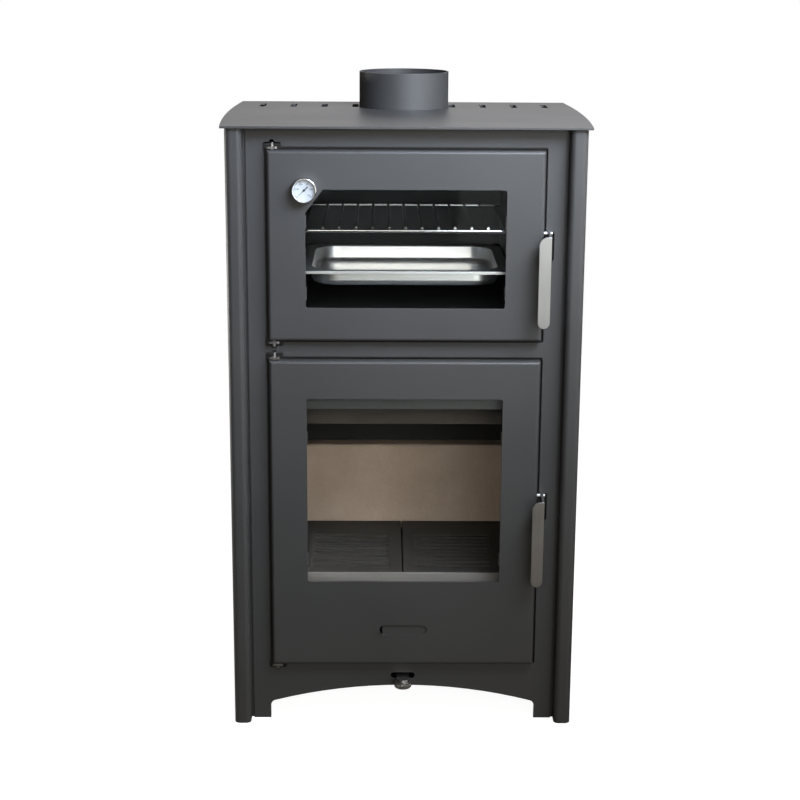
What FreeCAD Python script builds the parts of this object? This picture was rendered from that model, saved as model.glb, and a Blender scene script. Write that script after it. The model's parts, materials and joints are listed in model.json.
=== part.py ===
import FreeCAD, Part
import math
import os
from FreeCAD import Vector

# Cooking plate and the envelope of the stove (millimetres)
plate_width = 484.0
plate_depth = 396.0
plate_thick = 3.0
plate_height = 837.0
plate_bow = 7.0
plate_overhang = 6.0
handle_reach = 12.0
overrun = 5.0
slide_gap = 0.2
bend_share = math.cos(math.pi / 4)

# Stations from front to back
column_setback = 5.0
facade_setback = 24.0
door_proud = 12.0
frame_standoff = 10.0
y_plate = (handle_reach - plate_depth) / 2
y_end = y_plate + plate_depth
y_column = y_plate + column_setback
y_facade = y_plate + facade_setback
y_door = y_facade - door_proud
y_frame = y_facade + frame_standoff
z_plate = plate_height - plate_thick

# Front plate
facade_gap = 3.5
facade_thick = 3.0
leg_width = 24.0
arch_crown = 50.0
arch_spring = 25.0
arch_corner = 8.0
air_slot_width = 34.0
air_slot_height = 9.0
air_slot_level = 64.5
hinge_notch_width = 24.0
hinge_notch_height = 6.0
latch_notch_width = 11.0
latch_notch_drop = 37.0
latch_notch_rise = 2.3
notch_radius = 3.0
hinge_relief_radius = 3.5

# Doors
door_stile = 28.0
door_depth = 19.0
door_sheet = 2.0
door_edge_radius = 4.0
door_gap = 3.5
top_rail = 29.0
oven_door_height = 254.0
middle_rail = 27.5
base_height = 86.5
window_border = 50.0
window_corner = 3.0
oven_window_sill = 45.0
oven_window_head = 51.0
fire_window_sill = 123.0
fire_window_head = 52.5
glass_thick = 4.0
glass_lap = 12.0
clip_width = 18.0
clip_length = 26.0
clip_sheet = 1.5
clip_inset_share = 0.12

# Rope seals and their channels
rope_radius = 4.5
channel_width = 14.0
channel_sheet = 1.5
channel_depth = 7.0
rope_gap = 0.1
rope_corner = 6.0

# Hinges
hinge_inset = 6.5
hinge_depth = 9.0
hinge_pin_radius = 3.0
hinge_running_gap = 0.05
hinge_stub = 5.5
hinge_tip_chamfer = 1.0
hinge_engage = 9.0
lug_width = 16.0
lug_thick = 3.0
lug_gap = 1.5
lug_nose = 6.0

# Handles
handle_length = 122.0
handle_width = 16.0
handle_sheet = 3.0
handle_standoff = 5.0
handle_top_radius = 11.0
oven_handle_height = 145.0
fire_handle_height = 246.5
pivot_depth = 7.7
pivot_radius = 2.5
pivot_boss = 4.7
pivot_head = 3.0
pivot_head_radius = 4.1
pivot_nut = 4.0
pivot_nut_flat = 3.6
flange_depth = 8.0
flange_length = 107.0
gusset_drop = 30.0
hook_arm_top = 3.0
hook_arm_bottom = 8.0
hook_gap = 0.4
hook_nose = 3.0
hook_rise = 5.0

# Thermometer in the oven door
gauge_outset = 1.0
gauge_radius = 16.5
gauge_depth = 14.0
gauge_wall = 1.5
gauge_back = 8.2
gauge_dial = 0.6
gauge_lens = 1.2
gauge_rim_round = 1.2
gauge_stem_radius = 3.0
gauge_stem_length = 46.0
gauge_nut = 3.0
gauge_nut_radius = 6.0
needle_length = 11.0
needle_tail = 7.0
needle_width = 1.8
needle_hub = 1.6
needle_thick = 0.5
needle_gap = 0.4
needle_rest_turn = -135.0
gauge_tab_width = 24.5
gauge_tab_drop = 32.0
gauge_tab_lap = 10.0

# Secondary air shutter in the fire door
shutter_slot_length = 66.0
shutter_slot_height = 14.0
shutter_height = 51.5
shutter_plate_height = 26.0
shutter_sheet = 1.5
shutter_travel = 40.0
shutter_crescent = 4.0
shutter_lap = 7.0
shutter_tab = 6.0
shutter_tab_height = 8.0
shutter_guide = 6.0

# Primary air register under the ash floor
register_width = 140.0
register_depth = 100.0
register_sheet = 2.0
register_setback = 46.0
register_travel = 7.0
register_slots = 8
register_slot_width = 6.0
register_slot_margin = 15.0
register_guide_leg = 8.0
tongue_width = 18.0
tongue_reach = 21.0
tongue_setback = 8.0
tongue_clearance = 2.0
knob_radius = 12.0
knob_height = 9.0
knob_waist = 2.0
knob_overlap = 11.0

# Side panels with their rolled columns
panel_sheet = 1.5
column_width = 22.0
column_radius = 7.0
column_flange_gap = 1.0
panel_back_flange = 18.0
panel_back_inset = 5.5
panel_back_radius = 4.0
bracket_sheet = 3.0
bracket_length = 60.0
bracket_gap = 0.2
bracket_level_shares = (0.2, 0.8)
bracket_depth_shares = (0.3, 0.7)

# Rear shield
shield_edge = 12.0
shield_thick = 1.5
shield_bottom = 20.0
shield_slots = 9
shield_slot_length = 60.0
shield_slot_width = 9.0
shield_slot_pitch = 40.0
shield_slot_margin = 40.0
shield_screw_radius = 3.5
shield_screw_head = 2.0
shield_screw_shares = (0.08, 0.5, 0.92)

# Inner welded body
wall = 3.0
frame_lap = 14.0
body_inset = 10.0
body_drop = 36.5
body_headroom = 22.0
body_back_gap = 13.0
frame_thick = 4.0
ash_floor_rise = 17.5
ash_chamber = 87.0
hearth_thick = 4.0
fire_mouth_inset = 22.5
fire_mouth_head = 71.5
spacer_radius = 4.0
spacer_edge = 5.0
spacer_level_shares = (0.03, 0.6, 0.99)

# Flue
flue_radius = 65.0
flue_wall = 2.0
flue_rise = 51.0
flue_from_back = 81.0
flue_ledge = 2.0
flue_plate_gap = 1.0

# Plate vents
vent_width = 9.0
vent_length = 50.0
vent_from_back = 94.0
vent_inner_offset = 71.0
vent_pitch = 45.3
vents_per_side = 4

# Firebox
brick_thick = 30.0
brick_height = 134.0
brick_chamfer = 2.0
smoke_gap = 50.0
back_plate_thick = 4.0
back_plate_rise = 53.0
side_brick_height = 134.0
side_brick_setback = 22.0
grate_thick = 12.0
grate_side_gap = 4.0
grate_setback = 28.0
grate_brick_gap = 2.0
grate_joint = 2.0
grate_ledge = 8.0
grate_slots = 10
grate_slot_width = 7.0
grate_slot_inner = 19.0
grate_slot_outer = 23.0
grate_slot_front_margin = 26.0
grate_slot_rear_margin = 62.2
guard_height = 5.0
guard_thick = 4.0
guard_foot = 14.0
baffle_thick = 24.0
baffle_lift = 39.0
baffle_front_gap = 64.0
baffle_tilt = 12.0
baffle_gap = 3.0
baffle_rail = 14.0
baffle_rail_thick = 3.0
ash_pan_side_gap = 7.0
ash_pan_height = 54.0
ash_pan_sheet = 1.5
ash_pan_corner = 10.0
ash_pan_setback = 24.0
ash_pan_lip = 12.0

# Oven
oven_mouth_inset = 37.5
oven_sill = 24.0
oven_head = 20.0
oven_back_gap = 52.0
oven_sheet = 2.0
oven_corner = 6.0
runner_leg = 10.0
runner_sheet = 1.5
runner_end_gap = 18.0
runner_setback = 10.0
rack_height = 122.5
rack_side_gap = 3.0
rack_setback = 14.0
rack_end_gap = 18.0
rack_bar_radius = 2.5
rack_wire_radius = 2.0
rack_wires = 11
rack_wire_edge = 31.0
rack_weld = 0.6
tray_height = 64.0
tray_rim_side = 14.0
tray_rim_end = 11.0
tray_rim_corner = 8.0
tray_rear_gap = 38.0
tray_corner = 36.0
tray_depth = 22.0
tray_sheet = 1.0
tray_floor_round = 8.0
tray_curl_radius = 2.0

# Places worked out from the sizes above
column_inner = plate_width / 2 - plate_overhang - column_width
facade_half = column_inner - facade_gap
door_half = facade_half - door_stile
window_half = door_half - window_border
frame_half = door_half + door_gap + frame_lap
body_half = frame_half - body_inset
inner_half = body_half - wall
oven_half = door_half - oven_mouth_inset
rack_half = oven_half - rack_side_gap
grate_half_width = inner_half - brick_thick - grate_side_gap

oven_door_top = z_plate - top_rail
oven_door_bottom = oven_door_top - oven_door_height
fire_door_bottom = base_height
fire_door_top = oven_door_bottom - middle_rail
fire_door_height = fire_door_top - fire_door_bottom
oven_window_bottom = oven_door_bottom + oven_window_sill
oven_window_height = oven_door_height - oven_window_sill - oven_window_head
fire_window_bottom = fire_door_bottom + fire_window_sill
fire_window_height = fire_door_height - fire_window_sill - fire_window_head
oven_handle_level = oven_door_bottom + oven_handle_height
fire_handle_level = fire_door_bottom + fire_handle_height
shutter_level = fire_door_bottom + shutter_height
gauge_x = -window_half - gauge_outset
gauge_level = oven_window_bottom + oven_window_height
body_bottom = fire_door_bottom - body_drop
body_top = z_plate - body_headroom
ash_floor = fire_door_bottom + ash_floor_rise
hearth_level = ash_floor + ash_chamber
fire_mouth_top = fire_door_top - fire_mouth_head
back_plate_top = fire_mouth_top + back_plate_rise
baffle_rear_level = hearth_level + brick_height + baffle_lift
oven_bottom = oven_door_bottom + oven_sill
oven_top = oven_door_top - oven_head
rack_level = oven_bottom + rack_height
tray_rim_level = oven_bottom + tray_height
flue_top = plate_height + flue_rise

hinge_x = -door_half + hinge_inset
hinge_y = y_door + hinge_depth
pivot_y = y_door + pivot_depth
lever_x = door_half + handle_standoff
y_body = y_frame + frame_thick
y_body_end = y_end - body_back_gap
y_brick_back = y_body_end - wall - smoke_gap
y_brick_face = y_brick_back - brick_thick
y_grate = y_body + grate_setback
y_grate_end = y_brick_face - grate_brick_gap
y_oven_end = y_body_end - wall - oven_back_gap
y_baffle_end = y_brick_back - baffle_thick * math.sin(math.radians(baffle_tilt)) - baffle_gap
baffle_length = y_brick_back - y_body - baffle_front_gap
y_rack = y_body + rack_setback
y_rack_end = y_oven_end - rack_end_gap
y_tray_end = y_rack_end - tray_rear_gap
y_flue = y_end - flue_from_back


def slab(x0, x1, y0, y1, z0, z1):
    return Part.makeBox(x1 - x0, y1 - y0, z1 - z0, Vector(x0, y0, z0))


def rod(radius, start, end):
    run = end.sub(start)
    return Part.makeCylinder(radius, run.Length, start, run)


def rounded_wire(u0, u1, v0, v1, radius, place):
    # Rectangle with round corners, drawn in a plane that place() turns into space
    bulge = radius * bend_share
    edges = []
    corners = ((u1 - radius, v0 + radius, 1, -1), (u1 - radius, v1 - radius, 1, 1),
               (u0 + radius, v1 - radius, -1, 1), (u0 + radius, v0 + radius, -1, -1))
    last = place(u0 + radius, v0)
    for index, (u, v, side_u, side_v) in enumerate(corners):
        reach_u = place(u + side_u * radius, v)
        reach_v = place(u, v + side_v * radius)
        start, end = (reach_v, reach_u) if index % 2 == 0 else (reach_u, reach_v)
        if start.sub(last).Length > Part.Precision.confusion():
            edges.append(Part.LineSegment(last, start).toShape())
        middle = place(u + side_u * bulge, v + side_v * bulge)
        edges.append(Part.Arc(start, middle, end).toShape())
        last = end
    return Part.Wire(edges)


def panel_xz(x0, x1, z0, z1, radius, y, thick):
    wire = rounded_wire(x0, x1, z0, z1, radius, lambda u, v: Vector(u, y, v))
    return Part.Face(wire).extrude(Vector(0, thick, 0))


def panel_xy(x0, x1, y0, y1, radius, z, thick):
    wire = rounded_wire(x0, x1, y0, y1, radius, lambda u, v: Vector(u, v, z))
    return Part.Face(wire).extrude(Vector(0, 0, thick))


def polygon_prism(points, run):
    return Part.Face(Part.makePolygon(points + points[:1])).extrude(run)


def edges_along(shape, axis):
    # Straight edges that run along the given direction
    straight = [edge for edge in shape.Edges if isinstance(edge.Curve, Part.Line)]
    return [edge for edge in straight if edge.Curve.Direction.cross(axis).Length < Part.Precision.confusion()]


def mirrored(shape):
    return shape.mirror(Vector(0, 0, 0), Vector(1, 0, 0))


def on_both_sides(shapes):
    return Part.makeCompound(shapes + [mirrored(shape) for shape in shapes])


def joined(shapes):
    result = shapes[0]
    for shape in shapes[1:]:
        result = result.fuse(shape)
    return result.removeSplitter()


def side_reach(y, inset):
    # Half width of the bowed plan at depth y, drawn in by inset
    half_run = plate_depth / 2
    radius = (half_run ** 2 + plate_bow ** 2) / (2 * plate_bow)
    offset = y - (y_plate + half_run)
    return plate_width / 2 + plate_bow - radius + math.sqrt(radius ** 2 - offset ** 2) - inset


def bowed_arc(y0, y1, inset):
    middle = (y0 + y1) / 2
    points = [Vector(side_reach(y, inset), y, 0) for y in (y0, middle, y1)]
    return Part.Arc(*points).toShape()


def save(name, shape):
    shape.exportStep("parts/" + name + ".step")


# Casing

def top_plate():
    right = bowed_arc(y_plate, y_end, 0)
    ends = []
    for y in (y_plate, y_end):
        half = side_reach(y, 0)
        ends.append(Part.LineSegment(Vector(-half, y, 0), Vector(half, y, 0)).toShape())
    outline = Part.Wire(Part.__sortEdges__([ends[0], right, ends[1], mirrored(right)]))
    plate = Part.Face(outline).extrude(Vector(0, 0, plate_thick))
    plate.translate(Vector(0, 0, z_plate))
    hole_low = Vector(0, y_flue, z_plate - overrun)
    cuts = [rod(flue_radius + flue_plate_gap, hole_low, Vector(0, y_flue, plate_height + overrun))]
    y0 = y_end - vent_from_back
    half = vent_width / 2
    for side in (-1, 1):
        for index in range(vents_per_side):
            x = side * (vent_inner_offset + index * vent_pitch)
            cuts.append(panel_xy(x - half, x + half, y0, y0 + vent_length, half, z_plate - overrun,
                                 plate_thick + 2 * overrun))
    return plate.cut(cuts)


def flue_collar():
    foot = Vector(0, y_flue, body_top)
    rim = Vector(0, y_flue, flue_top)
    return rod(flue_radius, foot, rim).cut(rod(flue_radius - flue_wall, foot, rim))


def arch_cutter():
    half = facade_half - leg_width
    y = y_facade - overrun
    low_left = Vector(-half, y, -overrun)
    low_right = Vector(half, y, -overrun)
    left = Vector(-half, y, arch_spring)
    right = Vector(half, y, arch_spring)
    arc = Part.Arc(left, Vector(0, y, arch_crown), right).toShape()
    lines = [Part.LineSegment(right, low_right).toShape(), Part.LineSegment(low_right, low_left).toShape(),
             Part.LineSegment(low_left, left).toShape()]
    prism = Part.Face(Part.Wire([arc] + lines)).extrude(Vector(0, facade_thick + 2 * overrun, 0))
    shoulders = [e for e in edges_along(prism, Vector(0, 1, 0)) if e.BoundBox.ZMin > 0]
    return prism.makeFillet(arch_corner, shoulders)


def facade_cut(x0, x1, z0, z1, radius):
    return panel_xz(x0, x1, z0, z1, radius, y_facade - overrun, facade_thick + 2 * overrun)


def door_cuts(bottom, height, handle_level):
    # Door opening, the two hinge notches on its left and the latch notch on its right
    edge = door_half + door_gap
    low = bottom - door_gap
    high = bottom + height + door_gap
    notch_left = hinge_x - hinge_notch_width / 2
    notch_right = hinge_x + hinge_notch_width / 2
    cuts = [facade_cut(-edge, edge, low, high, notch_radius)]
    for z in (low, high):
        cuts.append(facade_cut(notch_left, notch_right, z - hinge_notch_height, z + hinge_notch_height,
                               notch_radius))
    for z in (low - hinge_notch_height, high + hinge_notch_height):
        front = Vector(hinge_x, y_facade - overrun, z)
        cuts.append(rod(hinge_relief_radius, front, Vector(hinge_x, y_facade + facade_thick + overrun, z)))
    cuts.append(facade_cut(edge - latch_notch_width, edge + latch_notch_width,
                           handle_level - latch_notch_drop, handle_level + latch_notch_rise, notch_radius))
    return cuts


def front_plate():
    plate = slab(-facade_half, facade_half, y_facade, y_facade + facade_thick, 0, z_plate)
    cuts = door_cuts(oven_door_bottom, oven_door_height, oven_handle_level)
    cuts += door_cuts(fire_door_bottom, fire_door_height, fire_handle_level)
    slot_half = air_slot_width / 2
    rise = air_slot_height / 2
    cuts.append(facade_cut(-slot_half, slot_half, air_slot_level - rise, air_slot_level + rise, rise))
    cuts.append(arch_cutter())
    return plate.cut(cuts)


def side_panel():
    # Right hand sheet, followed along its outer face from behind the front plate to the rear flange
    inset = plate_overhang
    y_seat = y_facade + facade_thick
    y_rear = y_end - panel_back_inset
    face_end = side_reach(y_column, inset)
    r = column_radius
    bulge = r * (1 - bend_share)
    rb = panel_back_radius
    rear_bulge = rb * (1 - bend_share)
    rear_x = side_reach(y_rear - rb, inset)
    start = Vector(frame_half + column_flange_gap, y_seat, 0)
    seat_end = Vector(column_inner, y_seat, 0)
    return_end = Vector(column_inner, y_column + r, 0)
    face_start = Vector(column_inner + r, y_column, 0)
    face_stop = Vector(face_end - r, y_column, 0)
    side_start = Vector(side_reach(y_column + r, inset), y_column + r, 0)
    side_end = Vector(rear_x, y_rear - rb, 0)
    flange_start = Vector(rear_x - rb, y_rear, 0)
    flange_end = Vector(rear_x - panel_back_flange, y_rear, 0)
    edges = [Part.LineSegment(start, seat_end).toShape(), Part.LineSegment(seat_end, return_end).toShape(),
             Part.Arc(return_end, Vector(column_inner + bulge, y_column + bulge, 0), face_start).toShape(),
             Part.LineSegment(face_start, face_stop).toShape(),
             Part.Arc(face_stop, Vector(face_end - bulge, y_column + bulge, 0), side_start).toShape(),
             bowed_arc(y_column + r, y_rear - rb, inset),
             Part.Arc(side_end, Vector(rear_x - rear_bulge, y_rear - rear_bulge, 0), flange_start).toShape(),
             Part.LineSegment(flange_start, flange_end).toShape()]
    band = Part.Wire(edges).makeOffset2D(-panel_sheet, join=0, fill=True, openResult=True)
    return band.extrude(Vector(0, 0, z_plate))


def side_brackets():
    # Flat fins that hold the side panels off the inner body
    shapes = []
    for level in bracket_level_shares:
        for depth in bracket_depth_shares:
            y = y_plate + plate_depth * depth
            skin = min(side_reach(y, plate_overhang), side_reach(y + bracket_sheet, plate_overhang))
            tip = skin - panel_sheet - bracket_gap
            z = z_plate * level
            shapes.append(slab(body_half, tip, y, y + bracket_sheet, z, z + bracket_length))
    return on_both_sides(shapes)


def rear_shield():
    y = y_end - panel_back_inset
    half = side_reach(y, plate_overhang) - shield_edge
    sheet = slab(-half, half, y, y + shield_thick, shield_bottom, z_plate)
    cuts = []
    rise = shield_slot_width / 2
    for index in range(shield_slots):
        x = (index - (shield_slots - 1) / 2) * shield_slot_pitch
        for z in (shield_bottom + shield_slot_margin, z_plate - shield_slot_margin - shield_slot_length):
            cuts.append(panel_xz(x - rise, x + rise, z, z + shield_slot_length, rise, y - overrun,
                                 shield_thick + 2 * overrun))
    return sheet.cut(cuts)


def shield_screws():
    y = y_end - panel_back_inset + shield_thick
    x = side_reach(y_end - panel_back_inset, plate_overhang) - shield_edge - panel_back_flange / 4
    shapes = []
    for side in (-1, 1):
        for share in shield_screw_shares:
            foot = Vector(side * x, y, z_plate * share)
            shapes.append(rod(shield_screw_radius, foot, foot.add(Vector(0, shield_screw_head, 0))))
    return Part.makeCompound(shapes)


# Inner body

def front_frame():
    # Flat bars welded edge to edge round the oven mouth and the fire mouth
    stile = door_half - fire_mouth_inset
    tongue_gap = tongue_width / 2 + register_travel + tongue_clearance
    slot_top = air_slot_level + air_slot_height / 2
    bars = [(-frame_half, -stile, body_bottom, body_top), (stile, frame_half, body_bottom, body_top),
            (-stile, -oven_half, oven_bottom, oven_top), (oven_half, stile, oven_bottom, oven_top),
            (-stile, -tongue_gap, body_bottom, slot_top), (tongue_gap, stile, body_bottom, slot_top),
            (-stile, stile, slot_top, ash_floor), (-stile, stile, fire_mouth_top, oven_bottom),
            (-stile, stile, oven_top, body_top)]
    return Part.makeCompound([slab(x0, x1, y_frame, y_body, z0, z1) for x0, x1, z0, z1 in bars])


def frame_spacers():
    # Studs that hold the front plate off the inner frame
    shapes = []
    x = frame_half - spacer_edge
    for side in (-1, 1):
        for share in spacer_level_shares:
            z = body_bottom + (body_top - body_bottom) * share
            start = Vector(side * x, y_facade + facade_thick, z)
            shapes.append(rod(spacer_radius, start, Vector(side * x, y_frame, z)))
    return Part.makeCompound(shapes)


def inner_side_wall():
    return slab(inner_half, body_half, y_body, y_body_end, body_bottom, body_top)


def inner_back_wall():
    return slab(-inner_half, inner_half, y_body_end - wall, y_body_end, body_bottom, body_top)


def inner_roof():
    roof = slab(-inner_half, inner_half, y_body, y_body_end - wall, body_top - wall, body_top)
    hole = rod(flue_radius - flue_wall - flue_ledge, Vector(0, y_flue, body_top - wall - overrun),
               Vector(0, y_flue, body_top + overrun))
    return roof.cut(hole)


def register_cuts(z, thick):
    # Row of air slots shared by the ash floor and the register below it
    y0 = y_frame + register_setback + register_slot_margin
    length = register_depth - 2 * register_slot_margin
    pitch = 2 * register_travel
    cuts = []
    for index in range(register_slots):
        x = (index - (register_slots - 1) / 2) * pitch
        cuts.append(panel_xy(x - register_slot_width / 2, x + register_slot_width / 2, y0, y0 + length,
                             register_slot_width / 2, z - overrun, thick + 2 * overrun))
    return cuts


def base_plate():
    # Closes the air chamber under the ash floor
    return slab(-inner_half, inner_half, y_body, y_body_end - wall, body_bottom, body_bottom + wall)


def ash_floor_plate():
    floor = slab(-inner_half, inner_half, y_body, y_body_end - wall, ash_floor - wall, ash_floor)
    return floor.cut(register_cuts(ash_floor - wall, wall))


def hearth_plate():
    plate = slab(-inner_half, inner_half, y_body, y_body_end - wall,
                 hearth_level - hearth_thick, hearth_level)
    x = grate_half_width - grate_ledge
    opening = slab(-x, x, y_grate + grate_ledge, y_grate_end - grate_ledge,
                   hearth_level - hearth_thick - overrun, hearth_level + overrun)
    return plate.cut(opening)


def grate_half():
    # Right hand casting: a slotted plate with its slots running across the stove
    x0 = grate_joint / 2
    x1 = grate_half_width
    top = hearth_level + grate_thick
    body = slab(x0, x1, y_grate, y_grate_end, hearth_level, top)
    run = y_grate_end - y_grate - grate_slot_front_margin - grate_slot_rear_margin - grate_slot_width
    pitch = run / (grate_slots - 1)
    cuts = []
    for index in range(grate_slots):
        y = y_grate + grate_slot_front_margin + index * pitch
        cuts.append(panel_xy(grate_slot_inner, x1 - grate_slot_outer, y, y + grate_slot_width,
                             grate_slot_width / 2, hearth_level - overrun, grate_thick + 2 * overrun))
    return body.cut(cuts)


def log_guard():
    # Folded strip that keeps logs and embers behind the door
    x = inner_half - brick_thick
    y0 = y_grate - guard_foot
    top = hearth_level + grate_thick + guard_height
    foot = slab(-x, x, y0, y_grate, hearth_level, hearth_level + guard_thick)
    fence = slab(-x, x, y0, y0 + guard_thick, hearth_level, top)
    return joined([foot, fence])


def rear_brick():
    x = inner_half - brick_thick
    brick = slab(-x, x, y_brick_face, y_brick_back, hearth_level, hearth_level + brick_height)
    return brick.makeChamfer(brick_chamfer, edges_along(brick, Vector(1, 0, 0)))


def side_brick():
    y0 = y_body + side_brick_setback
    brick = slab(inner_half - brick_thick, inner_half, y0, y_brick_back,
                 hearth_level, hearth_level + side_brick_height)
    return brick.makeChamfer(brick_chamfer, edges_along(brick, Vector(0, 1, 0)))


def firebox_back_plate():
    y = y_brick_back
    upright = slab(-inner_half, inner_half, y, y + back_plate_thick, hearth_level, back_plate_top)
    shelf = slab(-inner_half, inner_half, y, y_body_end - wall,
                 back_plate_top - back_plate_thick, back_plate_top)
    return joined([upright, shelf])


def tilted(shape):
    hinge = Vector(0, y_brick_back, baffle_rear_level)
    shape.rotate(hinge, Vector(1, 0, 0), -baffle_tilt)
    return shape


def baffle_plate():
    x = inner_half - baffle_gap
    y = y_baffle_end
    return tilted(slab(-x, x, y - baffle_length, y, baffle_rear_level, baffle_rear_level + baffle_thick))


def baffle_rails():
    y = y_baffle_end
    rail = slab(inner_half - baffle_rail, inner_half, y - baffle_length, y,
                baffle_rear_level - baffle_rail_thick, baffle_rear_level)
    return on_both_sides([tilted(rail)])


def ash_pan():
    half = grate_half_width - grate_ledge - ash_pan_side_gap
    y0 = y_body + ash_pan_setback
    y1 = y_grate_end
    t = ash_pan_sheet
    outer = panel_xy(-half, half, y0, y1, ash_pan_corner, ash_floor, ash_pan_height)
    inner = panel_xy(-half + t, half - t, y0 + t, y1 - t, ash_pan_corner - t, ash_floor + t, ash_pan_height)
    rim = ash_floor + ash_pan_height
    lip = slab(-half + ash_pan_corner, half - ash_pan_corner, y0 - ash_pan_lip, y0 + t, rim - t, rim)
    return joined([outer.cut(inner), lip])


# Primary air register

def register_plate():
    half = register_width / 2
    tongue_half = tongue_width / 2
    y0 = y_frame + register_setback
    y_drop = y_body + tongue_setback
    t = register_sheet
    top = ash_floor - wall - slide_gap
    level = air_slot_level - t / 2
    sheet = slab(-half, half, y0, y0 + register_depth, top - t, top).cut(register_cuts(top - t, t))
    neck = slab(-tongue_half, tongue_half, y_drop, y0, top - t, top)
    drop = slab(-tongue_half, tongue_half, y_drop, y_drop + t, level, top)
    y_round = y_facade - tongue_reach + tongue_half
    tongue = slab(-tongue_half, tongue_half, y_round, y_drop + t, level, level + t)
    tip = rod(tongue_half, Vector(0, y_round, level), Vector(0, y_round, level + t))
    return joined([sheet, neck, drop, tongue, tip])


def register_guide(y, side):
    # Angle strip that carries one edge of the register
    t = register_sheet
    half = register_width / 2 + register_travel
    top = ash_floor - wall
    under = top - 2 * slide_gap - t
    web_y = y + side * slide_gap
    y0, y1 = sorted((web_y, web_y + side * t))
    web = slab(-half, half, y0, y1, under - t, top)
    y2, y3 = sorted((web_y + side * t, web_y - side * register_guide_leg))
    leg = slab(-half, half, y2, y3, under - t, under)
    return joined([web, leg])


def register_guides():
    y0 = y_frame + register_setback
    gap = tongue_width / 2 + 2 * register_travel
    front = register_guide(y0, -1)
    clear = slab(-gap, gap, y0 - 2 * register_guide_leg, y0 + 2 * register_guide_leg, 0, ash_floor)
    return Part.makeCompound([front.cut(clear), register_guide(y0 + register_depth, 1)])


def knob_centre():
    y_tip = y_facade - tongue_reach
    return Vector(0, y_tip + knob_overlap - knob_radius / 2, air_slot_level - register_sheet / 2)


def air_knob():
    # Turned knob hung under the tongue, with a waist between two rims
    top = knob_centre()
    third = Vector(0, 0, -knob_height / 3)
    upper = rod(knob_radius - knob_waist, top, top.add(third))
    lower_top = top.add(third)
    lower = rod(knob_radius, lower_top, top.add(Vector(0, 0, -knob_height)))
    rim = [e for e in lower.Edges if isinstance(e.Curve, Part.Circle)]
    lower = lower.makeChamfer(knob_waist / 2, rim)
    return joined([upper, lower])


# Oven

def oven_liner():
    half = oven_half
    t = oven_sheet
    depth = y_oven_end - y_body
    outer = panel_xz(-half - t, half + t, oven_bottom - t, oven_top + t, oven_corner, y_body, depth)
    inner = panel_xz(-half, half, oven_bottom, oven_top, oven_corner - t, y_body - overrun,
                     depth + 2 * overrun)
    return outer.cut(inner)


def oven_back():
    return panel_xz(-oven_half, oven_half, oven_bottom, oven_top, oven_corner - oven_sheet,
                    y_oven_end - oven_sheet, oven_sheet)


def runner_right(level):
    x = oven_half
    y0 = y_body + runner_setback
    y1 = y_oven_end - runner_end_gap
    t = runner_sheet
    leg = slab(x - runner_leg, x, y0, y1, level - t, level)
    web = slab(x - t, x, y0, y1, level - runner_leg, level)
    return joined([leg, web])


def oven_runners():
    levels = (rack_seat_level(), tray_rim_level - 2 * tray_curl_radius - slide_gap)
    return on_both_sides([runner_right(level) for level in levels])


def rack_bar_level():
    return rack_level - rack_wire_radius - rack_bar_radius + rack_weld


def rack_seat_level():
    return rack_bar_level() - rack_bar_radius - slide_gap


def oven_rack():
    z = rack_bar_level()
    shapes = []
    for y in (y_rack + rack_bar_radius, y_rack_end - rack_bar_radius):
        shapes.append(rod(rack_bar_radius, Vector(-rack_half, y, z), Vector(rack_half, y, z)))
    first = rack_half - rack_wire_edge
    for index in range(rack_wires):
        x = -first + 2 * first * index / (rack_wires - 1)
        front = Vector(x, y_rack, rack_level)
        shapes.append(rod(rack_wire_radius, front, Vector(x, y_rack_end, rack_level)))
    return joined(shapes)


def tray_basin(inset):
    # Outer form of the drawn basin, or its hollow when inset by the sheet
    half = rack_half - tray_rim_side - inset
    y0 = y_rack + tray_rim_end + inset
    y1 = y_tray_end - tray_rim_end - inset
    floor = tray_rim_level - tray_depth + inset
    basin = panel_xy(-half, half, y0, y1, tray_corner - inset, floor, tray_rim_level - floor)
    bottom = [e for e in basin.Edges if e.BoundBox.ZMax < floor + Part.Precision.confusion()]
    return basin.makeFillet(tray_floor_round - inset, bottom)


def oven_tray():
    half = rack_half
    y0 = y_rack
    y1 = y_tray_end
    rim = panel_xy(-half, half, y0, y1, tray_rim_corner, tray_rim_level - tray_sheet, tray_sheet)
    drop = 2 * tray_curl_radius
    curl = panel_xy(-half, half, y0, y1, tray_rim_corner, tray_rim_level - drop, drop)
    edge = tray_sheet
    inside = panel_xy(-half + edge, half - edge, y0 + edge, y1 - edge, tray_rim_corner - edge,
                      tray_rim_level - drop - overrun, drop + 2 * overrun)
    shell = joined([rim, curl.cut(inside), tray_basin(0)])
    return shell.cut(tray_basin(tray_sheet)).removeSplitter()


# Doors

def door_block(bottom, height, inset, depth):
    # Block with its front edges rounded, drawn in by inset from the outside of the door
    half = door_half - inset
    y0 = y_door + inset
    block = slab(-half, half, y0, y_door + depth, bottom + inset, bottom + height - inset)
    front = [e for e in block.Edges if e.BoundBox.YMax < y0 + Part.Precision.confusion()]
    return block.makeFillet(door_edge_radius - inset, front)


def door_shell(bottom, height):
    outside = door_block(bottom, height, 0, door_depth)
    return outside.cut(door_block(bottom, height, door_sheet, door_depth + overrun))


def hinge_holes(bottom, height):
    radius = hinge_pin_radius + hinge_running_gap
    holes = []
    for z in (bottom, bottom + height):
        low = Vector(hinge_x, hinge_y, z - hinge_engage)
        holes.append(rod(radius, low, Vector(hinge_x, hinge_y, z + hinge_engage)))
    return holes


def pivot_hole(level):
    inside = Vector(door_half - overrun, pivot_y, level)
    return rod(pivot_radius, inside, Vector(door_half + overrun, pivot_y, level))


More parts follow.
